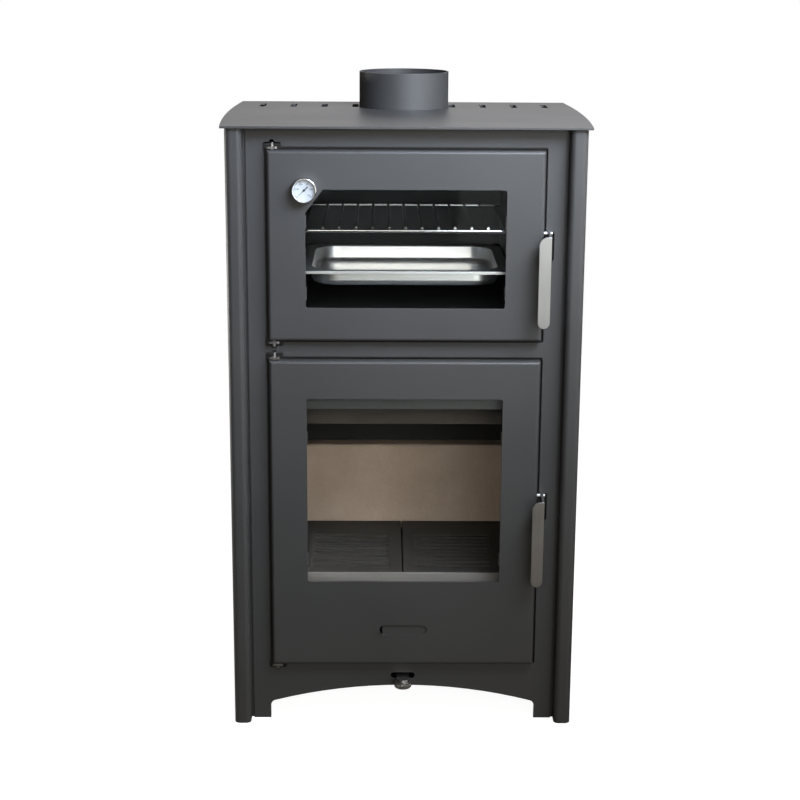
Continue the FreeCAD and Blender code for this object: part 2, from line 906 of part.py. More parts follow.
def window_cut(bottom, height):
    return panel_xz(-window_half, window_half, bottom, bottom + height, window_corner, y_door - overrun,
                    door_sheet + 2 * overrun)


def corner_wedge(lap, y, thick):
    # Tab over the window's upper left corner, with its slanting edge drawn back by lap
    reach = gauge_tab_width * gauge_tab_drop / math.hypot(gauge_tab_width, gauge_tab_drop)
    kept_share = 1 - lap / reach
    run = gauge_tab_width * kept_share
    drop = gauge_tab_drop * kept_share
    slope = drop / run
    far = window_half
    offsets = ((run, 0), (0, -drop), (-far, -drop - far * slope), (-far, far), (run + far / slope, far))
    points = [Vector(gauge_x + x, y, gauge_level + z) for x, z in offsets]
    return polygon_prism(points, Vector(0, thick, 0))


def oven_door_pan():
    pan = door_shell(oven_door_bottom, oven_door_height)
    window = window_cut(oven_window_bottom, oven_window_height)
    window = window.cut(corner_wedge(0, y_door - 2 * overrun, door_sheet + 4 * overrun))
    stem = rod(gauge_stem_radius, Vector(gauge_x, y_door - overrun, gauge_level),
               Vector(gauge_x, y_door + door_sheet + overrun, gauge_level))
    cuts = hinge_holes(oven_door_bottom, oven_door_height)
    return pan.cut(cuts + [window, stem, pivot_hole(oven_handle_level)])


def fire_door_pan():
    pan = door_shell(fire_door_bottom, fire_door_height)
    window = window_cut(fire_window_bottom, fire_window_height)
    half = shutter_slot_length / 2
    rise = shutter_slot_height / 2
    slot = panel_xz(-half, half, shutter_level - rise, shutter_level + rise, rise, y_door - overrun,
                    door_sheet + 2 * overrun)
    cuts = hinge_holes(fire_door_bottom, fire_door_height)
    return pan.cut(cuts + [window, slot, pivot_hole(fire_handle_level)])


def door_glass(bottom, height):
    half = window_half + glass_lap
    return panel_xz(-half, half, bottom - glass_lap, bottom + height + glass_lap, window_corner,
                    y_door + door_sheet, glass_thick)


def oven_glass():
    glass = door_glass(oven_window_bottom, oven_window_height)
    return glass.cut(corner_wedge(gauge_tab_lap, y_door, door_depth))


def clip_places(bottom, height):
    inset = height * clip_inset_share
    for side in (-1, 1):
        for z in (bottom + inset, bottom + height - inset - gauge_tab_width):
            yield side, z


def glass_clips(bottom, height):
    # Stepped clips: one end on the door skin, the other over the glass
    edge = window_half + glass_lap
    reach = clip_length / 2
    y_skin = y_door + door_sheet
    y_glass = y_skin + glass_thick
    shapes = []
    for side, z in clip_places(bottom, height):
        low = z - clip_width / 2
        high = z + clip_width / 2
        foot = slab(edge, edge + reach, y_skin, y_skin + clip_sheet, low, high)
        riser = slab(edge, edge + clip_sheet, y_skin, y_glass + clip_sheet, low, high)
        tongue = slab(edge - reach, edge + clip_sheet, y_glass, y_glass + clip_sheet, low, high)
        clip = joined([foot, riser, tongue])
        shapes.append(clip if side > 0 else mirrored(clip))
    return Part.makeCompound(shapes)


def seal_base():
    return y_frame - rope_gap - 2 * rope_radius


def seal_channel(bottom, height):
    # Channel section that runs round the inside of the door pan and holds the rope
    t = channel_sheet
    y0 = seal_base() - t
    x = door_half - door_sheet
    z0 = bottom + door_sheet
    z1 = bottom + height - door_sheet

    def ring(outer, inner, y, depth):
        solid = slab(-x + outer, x - outer, y, y + depth, z0 + outer, z1 - outer)
        hole = slab(-x + inner, x - inner, y - overrun, y + depth + overrun, z0 + inner, z1 - inner)
        return solid.cut(hole)

    base = ring(0, channel_width, y0, t)
    outer_wall = ring(0, t, y0, channel_depth)
    inner_wall = ring(channel_width - t, channel_width, y0, channel_depth)
    pins = [rod(hinge_pin_radius + slide_gap, Vector(hinge_x, hinge_y, z - 2 * hinge_engage),
                Vector(hinge_x, hinge_y, z + 2 * hinge_engage)) for z in (bottom, bottom + height)]
    return joined([base, outer_wall, inner_wall]).cut(pins)


def rope_seal(bottom, height):
    inset = door_sheet + channel_width / 2
    y = seal_base() + rope_radius
    x = door_half - inset
    z0 = bottom + inset
    z1 = bottom + height - inset
    path = rounded_wire(-x, x, z0, z1, rope_corner, lambda u, v: Vector(u, y, v))
    start = Vector(-x + rope_corner, y, z0)
    ring = Part.Wire(Part.makeCircle(rope_radius, start, Vector(1, 0, 0)))
    return path.makePipeShell([ring], True, False)


def hinge_ends():
    # Edge of the door at each hinge, and the way that leads off it
    for bottom, height in ((oven_door_bottom, oven_door_height), (fire_door_bottom, fire_door_height)):
        yield bottom, -1
        yield bottom + height, 1


def hinge_lugs():
    # Tabs on the inner frame, above and below each door
    x0 = hinge_x - lug_width / 2
    x1 = hinge_x + lug_width / 2
    shapes = []
    for edge, side in hinge_ends():
        z = min(edge + side * lug_gap, edge + side * (lug_gap + lug_thick))
        tab = panel_xy(x0, x1, hinge_y - lug_nose, y_frame, notch_radius, z, lug_thick)
        shapes.append(tab.cut(rod(hinge_pin_radius, Vector(hinge_x, hinge_y, z - overrun),
                                  Vector(hinge_x, hinge_y, z + lug_thick + overrun))))
    return Part.makeCompound(shapes)


def hinge_pins():
    shapes = []
    for z, side in hinge_ends():
        tip = Vector(hinge_x, hinge_y, z - side * hinge_engage)
        end = Vector(hinge_x, hinge_y, z + side * (lug_gap + lug_thick + hinge_stub))
        pin = rod(hinge_pin_radius, tip, end)
        rims = [e for e in pin.Edges if isinstance(e.Curve, Part.Circle)]
        shapes.append(pin.makeChamfer(hinge_tip_chamfer, rims))
    return Part.makeCompound(shapes)


# Handles

def handle(level):
    # Bent strip: a face to pull, and a side flange that runs back to the pivot and the hook
    y_face = y_plate - handle_reach
    x1 = lever_x + handle_sheet
    x0 = x1 - handle_width
    low = level - handle_length
    y_back = y_face + handle_sheet
    y_rear = y_back + flange_depth
    face = panel_xz(x0, x1, low, level + handle_top_radius, handle_width / 2, y_face, handle_sheet)
    face = face.cut(slab(x0 - overrun, x1 + overrun, y_face - overrun, y_back + overrun,
                         level, level + handle_top_radius + overrun))
    high = [e for e in edges_along(face, Vector(0, 1, 0)) if e.BoundBox.ZMin > level - handle_sheet]
    corner = [e for e in high if e.BoundBox.XMax < lever_x]
    face = face.makeFillet(handle_top_radius, corner)

    def at(y, z):
        return Vector(lever_x, y, level + z)

    across = Vector(handle_sheet, 0, 0)
    side = polygon_prism([at(y_face, 0), at(pivot_y, pivot_boss), at(pivot_y, -pivot_boss),
                          at(y_rear, -gusset_drop), at(y_rear, -flange_length), at(y_face, -flange_length)],
                         across)
    boss = rod(pivot_boss, at(pivot_y, 0), at(pivot_y, 0).add(across))
    y_hook = y_facade + facade_thick + hook_gap
    y_tip = y_hook + hook_nose
    arm_low = level - hook_arm_bottom
    arm_high = level - hook_arm_top
    arm = slab(lever_x, x1, pivot_y - pivot_boss, y_tip, arm_low, arm_high)
    nose = slab(lever_x, x1, y_hook, y_tip, arm_low, arm_high + hook_rise)
    hole = rod(pivot_radius + hinge_running_gap, at(pivot_y, 0).add(Vector(-overrun, 0, 0)),
               at(pivot_y, 0).add(Vector(handle_sheet + overrun, 0, 0)))
    return joined([face, side, boss, arm, nose]).cut(hole).removeSplitter()


def handle_bolt(level):
    # Shoulder bolt: the shoulder keeps the lever off the door, the head keeps it on
    start = Vector(door_half - door_sheet - pivot_nut, pivot_y, level)
    skin = Vector(door_half, pivot_y, level)
    shoulder = Vector(lever_x - slide_gap, pivot_y, level)
    seat = Vector(lever_x + handle_sheet + slide_gap, pivot_y, level)
    top = seat.add(Vector(pivot_head, 0, 0))
    collar = rod(pivot_head_radius, skin, shoulder)
    return joined([rod(pivot_radius, start, seat), collar, rod(pivot_head_radius, seat, top)])


def handle_nut(level):
    start = Vector(door_half - door_sheet - pivot_nut, pivot_y, level)
    end = Vector(door_half - door_sheet, pivot_y, level)
    sides = 6
    radius = pivot_nut_flat / math.cos(math.pi / sides)
    points = []
    for index in range(sides):
        turn = 2 * math.pi * (index + 1 / 2) / sides
        points.append(start.add(Vector(0, radius * math.cos(turn), radius * math.sin(turn))))
    hexagon = polygon_prism(points, end.sub(start))
    return hexagon.cut(rod(pivot_radius, start, end))


# Thermometer

def gauge_axis(y):
    return Vector(gauge_x, y, gauge_level)


def gauge_case():
    front = y_door - gauge_depth
    cup = rod(gauge_radius, gauge_axis(front), gauge_axis(y_door))
    circles = [e for e in cup.Edges if isinstance(e.Curve, Part.Circle)]
    rim = [e for e in circles if e.BoundBox.YMax < front + Part.Precision.confusion()]
    cup = cup.makeFillet(gauge_rim_round, rim)
    hollow = rod(gauge_radius - gauge_wall, gauge_axis(front - overrun), gauge_axis(y_door - gauge_back))
    stem = rod(gauge_stem_radius, gauge_axis(y_door - gauge_back), gauge_axis(y_door + gauge_stem_length))
    return joined([cup.cut(hollow), stem])


def gauge_dial_disc():
    back = y_door - gauge_back
    return rod(gauge_radius - gauge_wall, gauge_axis(back - gauge_dial), gauge_axis(back))


def gauge_needle():
    back = y_door - gauge_back - gauge_dial - needle_gap
    hub = rod(needle_hub, gauge_axis(back - needle_thick), gauge_axis(back))
    centre = gauge_axis(back - needle_thick)
    half = needle_width / 2
    corners = ((-half, -needle_tail), (half, -needle_tail), (0, needle_length))
    points = [centre.add(Vector(x, 0, z)) for x, z in corners]
    blade = polygon_prism(points, Vector(0, needle_thick, 0))
    pin = rod(half, gauge_axis(back - needle_thick), gauge_axis(back + needle_gap - slide_gap))
    turned = joined([hub, blade, pin])
    turned.rotate(centre, Vector(0, 1, 0), needle_rest_turn)
    return turned


def gauge_lens_disc():
    front = y_door - gauge_depth + gauge_rim_round
    return rod(gauge_radius - gauge_wall, gauge_axis(front), gauge_axis(front + gauge_lens))


def gauge_nut_ring():
    y = y_door + door_sheet
    return rod(gauge_nut_radius, gauge_axis(y), gauge_axis(y + gauge_nut)).cut(
        rod(gauge_stem_radius, gauge_axis(y), gauge_axis(y + gauge_nut)))


# Air shutter in the fire door

def air_shutter():
    y = y_door + door_sheet + slide_gap
    x0 = -shutter_slot_length / 2 + shutter_crescent
    x1 = shutter_slot_length / 2 + shutter_lap
    half = shutter_plate_height / 2
    plate = slab(x0, x1, y, y + shutter_sheet, shutter_level - half, shutter_level + half)
    rise = shutter_tab_height / 2
    tab = slab(x0, x0 + shutter_sheet, y_door - shutter_tab + door_sheet, y + shutter_sheet,
               shutter_level - rise, shutter_level + rise)
    return joined([plate, tab])


def shutter_guides():
    # Stepped strips that hold the shutter against the door skin
    y = y_door + door_sheet
    x0 = -shutter_slot_length / 2 - shutter_lap
    x1 = shutter_slot_length / 2 + shutter_lap + shutter_travel + shutter_lap
    half = shutter_plate_height / 2
    y_lip = y + 2 * slide_gap + shutter_sheet
    shapes = []
    for side in (-1, 1):
        z_edge = shutter_level + side * (half + slide_gap)
        z_out = z_edge + side * shutter_guide
        z_in = z_edge - side * shutter_guide / 2
        low, high = sorted((z_edge, z_out))
        spine = slab(x0, x1, y, y_lip, low, high)
        low, high = sorted((z_in, z_out))
        lip = slab(x0, x1, y_lip, y_lip + shutter_sheet, low, high)
        shapes.append(joined([spine, lip]))
    return Part.makeCompound(shapes)


def save_door(prefix, bottom, height, window_bottom, window_height, handle_level):
    save(prefix + "_glass_clips", glass_clips(window_bottom, window_height))
    save(prefix + "_seal_channel", seal_channel(bottom, height))
    save(prefix + "_rope_seal", rope_seal(bottom, height))
    save(prefix + "_handle", handle(handle_level))
    save(prefix + "_handle_bolt", handle_bolt(handle_level))
    save(prefix + "_handle_nut", handle_nut(handle_level))


def save_pair(name, shape):
    save(name + "_right", shape)
    save(name + "_left", mirrored(shape))


os.makedirs("parts", exist_ok=True)
save("top_plate", top_plate())
save("flue_collar", flue_collar())
save("front_plate", front_plate())
save_pair("side_panel", side_panel())
save("side_brackets", side_brackets())
save("rear_shield", rear_shield())
save("shield_screws", shield_screws())
save("front_frame", front_frame())
save("frame_spacers", frame_spacers())
save_pair("inner_side_wall", inner_side_wall())
save("inner_back_wall", inner_back_wall())
save("inner_roof", inner_roof())
save("base_plate", base_plate())
save("ash_floor_plate", ash_floor_plate())
save("hearth_plate", hearth_plate())
save_pair("grate", grate_half())
save("log_guard", log_guard())
save("rear_brick", rear_brick())
save_pair("side_brick", side_brick())
save("firebox_back_plate", firebox_back_plate())
save("baffle_plate", baffle_plate())
save("baffle_rails", baffle_rails())
save("ash_pan", ash_pan())
save("air_register", register_plate())
save("register_guides", register_guides())
save("air_knob", air_knob())
save("oven_liner", oven_liner())
save("oven_back", oven_back())
save("oven_runners", oven_runners())
save("hinge_lugs", hinge_lugs())
save("hinge_pins", hinge_pins())
save("oven_rack", oven_rack())
save("oven_tray", oven_tray())
save("oven_door_pan", oven_door_pan())
save("oven_glass", oven_glass())
save_door("oven", oven_door_bottom, oven_door_height, oven_window_bottom, oven_window_height,
          oven_handle_level)
save("thermometer_case", gauge_case())
save("thermometer_dial", gauge_dial_disc())
save("thermometer_needle", gauge_needle())
save("thermometer_lens", gauge_lens_disc())
save("thermometer_nut", gauge_nut_ring())
save("fire_door_pan", fire_door_pan())
save("fire_glass", door_glass(fire_window_bottom, fire_window_height))
save_door("fire", fire_door_bottom, fire_door_height, fire_window_bottom, fire_window_height,
          fire_handle_level)
save("air_shutter", air_shutter())
save("shutter_guides", shutter_guides())
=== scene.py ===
import json
import math
import bmesh
import bpy
from mathutils import Matrix, Vector


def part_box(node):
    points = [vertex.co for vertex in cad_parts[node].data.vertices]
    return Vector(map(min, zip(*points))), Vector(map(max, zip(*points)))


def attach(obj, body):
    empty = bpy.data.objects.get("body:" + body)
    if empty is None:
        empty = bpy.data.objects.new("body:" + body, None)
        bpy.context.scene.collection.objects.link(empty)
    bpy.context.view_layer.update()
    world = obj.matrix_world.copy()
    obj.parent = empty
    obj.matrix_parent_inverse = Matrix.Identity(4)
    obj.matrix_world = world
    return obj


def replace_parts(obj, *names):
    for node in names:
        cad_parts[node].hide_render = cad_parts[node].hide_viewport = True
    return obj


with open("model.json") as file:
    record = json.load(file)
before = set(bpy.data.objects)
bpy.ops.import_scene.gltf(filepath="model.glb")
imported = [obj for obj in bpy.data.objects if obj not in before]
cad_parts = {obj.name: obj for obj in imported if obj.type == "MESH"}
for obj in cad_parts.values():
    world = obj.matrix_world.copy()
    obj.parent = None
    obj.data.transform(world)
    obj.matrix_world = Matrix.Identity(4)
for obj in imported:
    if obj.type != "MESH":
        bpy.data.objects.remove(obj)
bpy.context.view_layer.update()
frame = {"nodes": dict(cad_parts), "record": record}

record = frame["record"]
nodes = frame["nodes"]


# helpers for shader trees
def newNode(tree, kind, **inputs):
    node = tree.nodes.new(kind)
    for key, value in inputs.items():
        node.inputs[key.replace("_", " ")].default_value = value
    return node


def calc(tree, operation, *values):
    node = tree.nodes.new("ShaderNodeMath")
    node.operation = operation
    for socket, value in zip(node.inputs, values):
        if isinstance(value, (int, float)):
            socket.default_value = value
        else:
            tree.links.new(value, socket)
    return node.outputs[0]


def blendColors(tree, factor, first, second):
    node = tree.nodes.new("ShaderNodeMix")
    node.data_type = "RGBA"
    tree.links.new(factor, node.inputs["Factor"])
    tree.links.new(first, node.inputs["A"])
    tree.links.new(second, node.inputs["B"])
    return node.outputs["Result"]


def between(tree, factor, low, high):
    node = tree.nodes.new("ShaderNodeMapRange")
    tree.links.new(factor, node.inputs["Value"])
    tree.links.new(low, node.inputs["To Min"])
    tree.links.new(high, node.inputs["To Max"])
    return node.outputs["Result"]


# every effect gives a colour, a roughness and a height from two colours and two roughnesses
def startEffect(name, extra):
    group = bpy.data.node_groups.new(name, "ShaderNodeTree")
    sockets = [("Dark", "NodeSocketColor"), ("Light", "NodeSocketColor"),
               ("Rough Low", "NodeSocketFloat"), ("Rough High", "NodeSocketFloat")] + extra
    for label, kind in sockets:
        group.interface.new_socket(label, in_out="INPUT", socket_type=kind)
    results = [("Color", "NodeSocketColor"), ("Roughness", "NodeSocketFloat"), ("Height", "NodeSocketFloat")]
    for label, kind in results:
        group.interface.new_socket(label, in_out="OUTPUT", socket_type=kind)
    entry = group.nodes.new("NodeGroupInput").outputs
    leave = group.nodes.new("NodeGroupOutput").inputs
    place = group.nodes.new("ShaderNodeTexCoord").outputs["Object"]
    return group, entry, leave, place


def texture(group, kind, place, **inputs):
    node = newNode(group, kind, **inputs)
    group.links.new(place, node.inputs["Vector"])
    return node


def endEffect(group, entry, leave, tone, rough, height):
    group.links.new(blendColors(group, tone, entry["Dark"], entry["Light"]), leave["Color"])
    group.links.new(between(group, rough, entry["Rough Low"], entry["Rough High"]), leave["Roughness"])
    group.links.new(height, leave["Height"])
    return group


# first times its share plus second times its own share
def weigh(tree, first, firstShare, second, secondShare):
    return calc(tree, "MULTIPLY_ADD", first, firstShare, calc(tree, "MULTIPLY", second, secondShare))


paintSpec = {"blotch": {"Scale": 7.0, "Detail": 5.0, "Roughness": 0.55},
             "grain": {"Detail": 3.0, "Roughness": 0.6}, "fleckScale": 420.0,
             "grainShare": 0.35, "blotchShare": 0.75, "fleckHeight": 0.3}


# sprayed heat-proof paint: slow blotches, fine grain and small flecks
def buildPaintEffect():
    group, entry, leave, place = startEffect("sprayedPaint", [("Grain Scale", "NodeSocketFloat")])
    blotch = texture(group, "ShaderNodeTexNoise", place, **paintSpec["blotch"]).outputs["Fac"]
    grain = texture(group, "ShaderNodeTexNoise", place, **paintSpec["grain"])
    group.links.new(entry["Grain Scale"], grain.inputs["Scale"])
    fine = grain.outputs["Fac"]
    fleck = texture(group, "ShaderNodeTexVoronoi", place, Scale=paintSpec["fleckScale"]).outputs["Distance"]
    tone = weigh(group, fine, paintSpec["grainShare"], blotch, paintSpec["blotchShare"])
    height = calc(group, "MULTIPLY_ADD", fleck, paintSpec["fleckHeight"], fine)
    return endEffect(group, entry, leave, tone, blotch, height)


brushSpec = {"lines": {"Scale": 1.0, "Detail": 4.0, "Roughness": 0.65},
             "cloud": {"Scale": 22.0, "Detail": 3.0}, "lineShare": 0.6, "cloudShare": 0.4}


# brush or draw lines of bare steel, long along one axis, with faint clouds
def buildBrushEffect():
    group, entry, leave, place = startEffect("brushLines", [("Stretch", "NodeSocketVector")])
    stretch = group.nodes.new("ShaderNodeVectorMath")
    stretch.operation = "MULTIPLY"
    group.links.new(place, stretch.inputs[0])
    group.links.new(entry["Stretch"], stretch.inputs[1])
    lines = texture(group, "ShaderNodeTexNoise", stretch.outputs[0], **brushSpec["lines"]).outputs["Fac"]
    cloud = texture(group, "ShaderNodeTexNoise", place, **brushSpec["cloud"]).outputs["Fac"]
    tone = weigh(group, lines, brushSpec["lineShare"], cloud, brushSpec["cloudShare"])
    return endEffect(group, entry, leave, tone, tone, lines)


gritSpec = {"grit": {"Detail": 6.0, "Roughness": 0.7}, "cloud": {"Detail": 5.0, "Roughness": 0.6},
            "pitScale": 180.0, "cloudShare": 0.7, "gritShare": 0.4, "pitHeight": 0.5}


# grit, pits and clouds of fired clay, sand-cast iron or woven glass rope
def buildGritEffect():
    scales = [("Grit Scale", "NodeSocketFloat"), ("Cloud Scale", "NodeSocketFloat")]
    group, entry, leave, place = startEffect("gritAndPits", scales)
    grit = texture(group, "ShaderNodeTexNoise", place, **gritSpec["grit"])
    cloud = texture(group, "ShaderNodeTexNoise", place, **gritSpec["cloud"])
    pits = texture(group, "ShaderNodeTexVoronoi", place, Scale=gritSpec["pitScale"]).outputs["Distance"]
    group.links.new(entry["Grit Scale"], grit.inputs["Scale"])
    group.links.new(entry["Cloud Scale"], cloud.inputs["Scale"])
    fine = grit.outputs["Fac"]
    tone = weigh(group, cloud.outputs["Fac"], gritSpec["cloudShare"], fine, gritSpec["gritShare"])
    height = calc(group, "MULTIPLY_ADD", pits, gritSpec["pitHeight"], fine)
    return endEffect(group, entry, leave, tone, fine, height)


paintEffect = buildPaintEffect()
brushEffect = buildBrushEffect()
gritEffect = buildGritEffect()
print("shader groups ready")


def grey(value, warm=0.0):
    return (value * (1 + warm), value, value * (1 - warm), 1)


def newMaterial(name):
    material = bpy.data.materials.new(name)
    material.use_nodes = True
    return material, material.node_tree, material.node_tree.nodes["Principled BSDF"]


# dark and light are colours and rough two roughnesses; relief is the bump's strength and depth
# and the radius that rounds the edges in the light
def effectFinish(name, effect, dark, light, rough, relief, metallic=0.0, **more):
    material, tree, shader = newMaterial(name)
    shader.inputs["Metallic"].default_value = metallic
    placed = tree.nodes.new("ShaderNodeGroup")
    placed.node_tree = effect
    values = {"Dark": dark, "Light": light, "Rough Low": rough[0], "Rough High": rough[1]}
    for label, value in more.items():
        values[label.replace("_", " ")] = value
    for label, value in values.items():
        placed.inputs[label].default_value = value
    strength, depth, edge = relief
    bump = newNode(tree, "ShaderNodeBump", Strength=strength, Distance=depth)
    rounded = newNode(tree, "ShaderNodeBevel", Radius=edge)
    tree.links.new(placed.outputs["Color"], shader.inputs["Base Color"])
    tree.links.new(placed.outputs["Roughness"], shader.inputs["Roughness"])
    tree.links.new(placed.outputs["Height"], bump.inputs["Height"])
    tree.links.new(rounded.outputs["Normal"], bump.inputs["Normal"])
    tree.links.new(bump.outputs["Normal"], shader.inputs["Normal"])
    return material


glassSpec = {"tint": (0.95, 0.97, 0.97, 1), "smear": (0.91, 0.94, 0.94, 1), "rough": 0.0, "index": 1.12,
             "shade": (0.92, 0.93, 0.93, 1), "marks": {"Scale": 14.0, "Detail": 4.0}}


# clear heat-proof glass with faint wiping marks; light passes through it to what stands behind
def buildGlass():
    material, tree, shader = newMaterial("windowGlass")
    shader.inputs["Transmission Weight"].default_value = 1.0
    shader.inputs["IOR"].default_value = glassSpec["index"]
    shader.inputs["Roughness"].default_value = glassSpec["rough"]
    place = tree.nodes.new("ShaderNodeTexCoord").outputs["Object"]
    smear = texture(tree, "ShaderNodeTexNoise", place, **glassSpec["marks"]).outputs["Fac"]
    tone = tree.nodes.new("ShaderNodeMix")
    tone.data_type = "RGBA"
    tone.inputs["A"].default_value = glassSpec["tint"]
    tone.inputs["B"].default_value = glassSpec["smear"]
    tree.links.new(smear, tone.inputs["Factor"])
    tree.links.new(tone.outputs["Result"], shader.inputs["Base Color"])
    clear = newNode(tree, "ShaderNodeBsdfTransparent", Color=glassSpec["shade"])
    path = tree.nodes.new("ShaderNodeLightPath")
    pick = tree.nodes.new("ShaderNodeMixShader")
    tree.links.new(path.outputs["Is Shadow Ray"], pick.inputs["Fac"])
    tree.links.new(shader.outputs["BSDF"], pick.inputs[1])
    tree.links.new(clear.outputs["BSDF"], pick.inputs[2])
    tree.links.new(pick.outputs["Shader"], tree.nodes["Material Output"].inputs["Surface"])
    return material


finishes = {
    "casing": effectFinish("charcoalPaint", paintEffect, grey(0.036), grey(0.050), (0.36, 0.48),
                           (0.12, 0.0004, 0.0008), Grain_Scale=1100.0),
    "inner_steel": effectFinish("darkSteel", paintEffect, grey(0.006), grey(0.013, 0.03), (0.75, 0.95),
                                (0.20, 0.0005, 0.0006), Grain_Scale=600.0),
    "oven_enamel": effectFinish("ovenEnamel", paintEffect, grey(0.015, -0.10), grey(0.030, -0.10),
                                (0.58, 0.76), (0.08, 0.0004, 0.0010), Grain_Scale=260.0),
    "grate_iron": effectFinish("castIron", gritEffect, grey(0.007, 0.20), grey(0.032, 0.22), (0.65, 0.90),
                               (0.25, 0.0003, 0.0010), Grit_Scale=700.0, Cloud_Scale=16.0),
    "firebrick": effectFinish("firedClay", gritEffect, (0.22, 0.158, 0.118, 1), (0.56, 0.430, 0.340, 1),
                              (0.65, 0.90), (0.50, 0.0008, 0.0015), Grit_Scale=300.0, Cloud_Scale=10.0),
    # a copy of the fired clay at about a tenth of its brightness: painted shade for the board above the fire
    "shadedClay": effectFinish("shadedClay", gritEffect, (0.024, 0.019, 0.015, 1), (0.058, 0.046, 0.038, 1),
                               (0.70, 0.95), (0.50, 0.0008, 0.0015), Grit_Scale=300.0, Cloud_Scale=10.0),
    "bar_steel": effectFinish("drawnSteel", brushEffect, grey(0.84), grey(0.94), (0.26, 0.33),
                              (0.01, 0.00005, 0.0008), 1.0, Stretch=(24.0, 1500.0, 1500.0)),
    "millSteel": effectFinish("millSteel", brushEffect, grey(0.12, 0.10), grey(0.185, 0.10), (0.45, 0.65),
                              (0.10, 0.0002, 0.0008), 0.0, Stretch=(24.0, 500.0, 500.0)),
    "handle_steel": effectFinish("brushedHandle", brushEffect, grey(0.40), grey(0.62), (0.22, 0.38),
                                 (0.10, 0.0002, 0.0008), 1.0, Stretch=(900.0, 900.0, 16.0)),
    "bright_steel": effectFinish("platedSteel", brushEffect, grey(0.27), grey(0.42), (0.22, 0.42),
                                 (0.10, 0.0002, 0.0005), 1.0, Stretch=(300.0, 300.0, 300.0)),
    "rack_chrome": effectFinish("polishedChrome", brushEffect, grey(0.66), grey(0.84), (0.06, 0.16),
                                (0.03, 0.0001, 0.0004), 1.0, Stretch=(60.0, 60.0, 60.0)),
    "clear_glass": buildGlass(),
    "rope": effectFinish("braidedRope", gritEffect, grey(0.05, 0.03), grey(0.17, 0.05), (0.70, 0.95),
                         (0.80, 0.0008, 0.0003), Grit_Scale=900.0, Cloud_Scale=60.0),
    "dial_white": effectFinish("printedDial", paintEffect, (0.35, 0.36, 0.39, 1), (0.42, 0.43, 0.46, 1),
                               (0.35, 0.50), (0.05, 0.0001, 0.0002), Grain_Scale=700.0),
    "needle_black": effectFinish("blackInk", paintEffect, grey(0.008), grey(0.016), (0.30, 0.50),
                                 (0.05, 0.0001, 0.0002), Grain_Scale=500.0),
}
# the frame is painted with the front, the board above the fire gets a darker copy of the clay as painted
# shade, the guard is plain bar
ownFinish = {"front_frame": "casing", "baffle_plate": "shadedClay", "log_guard": "millSteel"}

for entry in record["subparts"]:
    name = entry["node"]
    slots = nodes[name].data.materials
    slots.clear()
    slots.append(finishes[ownFinish.get(name, entry["material_slot"])])
print("finishes on", len(record["subparts"]), "pieces")


def addPiece(name, mesh, body, slot, smooth=False):
    bmesh.ops.recalc_face_normals(mesh, faces=mesh.faces)
    data = bpy.data.meshes.new(name)
    mesh.to_mesh(data)
    mesh.free()
    for face in data.polygons:
        face.use_smooth = smooth
    data.materials.append(finishes[slot])
    piece = bpy.data.objects.new(name, data)
    bpy.context.scene.collection.objects.link(piece)
    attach(piece, body)
    return piece


def boxOf(node):
    low, high = (Vector(corner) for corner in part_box(node))
    return (low + high) / 2, low, high


# a curve or text turned into plain mesh data, with the curve thrown away
def meshFrom(curve):
    holder = bpy.data.objects.new(curve.name, curve)
    bpy.context.scene.collection.objects.link(holder)
    bpy.context.view_layer.update()
    solid = bpy.data.meshes.new_from_object(holder.evaluated_get(bpy.context.evaluated_depsgraph_get()))
    bpy.data.objects.remove(holder)
    bpy.data.curves.remove(curve)
    return solid


# strandShare is a strand's radius as a share of the rope's
ropeSpec = {"strands": 3, "turnLength": 0.016, "step": 0.0026, "roundness": 1, "cornerSteps": 6,
            "corner": 0.006, "strandShare": 0.54}


# the middle line of a rope seal: a rectangle with round corners, in even steps
def ropeLine(node):
    middle, low, high = boxOf(node)
    radius = (high.y - low.y) / 2
    corner = ropeSpec["corner"]
    inset = radius + corner
    bends = []
    for x, z, start in ((high.x - inset, high.z - inset, 0), (low.x + inset, high.z - inset, 90),
                        (low.x + inset, low.z + inset, 180), (high.x - inset, low.z + inset, 270)):
        for index in range(ropeSpec["cornerSteps"] + 1):
            turn = math.radians(start + 90 * index / ropeSpec["cornerSteps"])
            bends.append(Vector((x + corner * math.cos(turn), middle.y, z + corner * math.sin(turn))))
    line = []
    for here, after in zip(bends, bends[1:] + bends[:1]):
        count = max(1, round((after - here).length / ropeSpec["step"]))
        line += [here.lerp(after, index / count) for index in range(count)]
    return line, radius


# three strands laid round each other in place of the plain seal
def buildRope(node, body):
    line, radius = ropeLine(node)
    steps = [(after - here).length for here, after in zip(line, line[1:] + line[:1])]
    around = sum(steps)
    turns = round(around / ropeSpec["turnLength"])
    curve = bpy.data.curves.new(node + "_braid", "CURVE")
    curve.dimensions = "3D"
    curve.bevel_depth = radius * ropeSpec["strandShare"]
    curve.bevel_resolution = ropeSpec["roundness"]
    depth = Vector((0, 1, 0))
    for strand in range(ropeSpec["strands"]):
        spline = curve.splines.new("POLY")
        spline.points.add(len(line) - 1)
        spline.use_cyclic_u = True
        gone = 0.0
        for index, here in enumerate(line):
            side = (line[(index + 1) % len(line)] - line[index - 1]).normalized().cross(depth)
            angle = 2 * math.pi * (turns * gone / around + strand / ropeSpec["strands"])
            lean = math.cos(angle) * side + math.sin(angle) * depth
            spline.points[index].co = (*(here + (radius - curve.bevel_depth) * lean), 1)
            gone += steps[index]
    mesh = bmesh.new()
    mesh.from_mesh(meshFrom(curve))
    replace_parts(addPiece(node + "_braid", mesh, body, "rope", True), node)


buildRope("oven_rope_seal", "oven_door")
buildRope("fire_rope_seal", "fire_door")
print("rope seals laid")

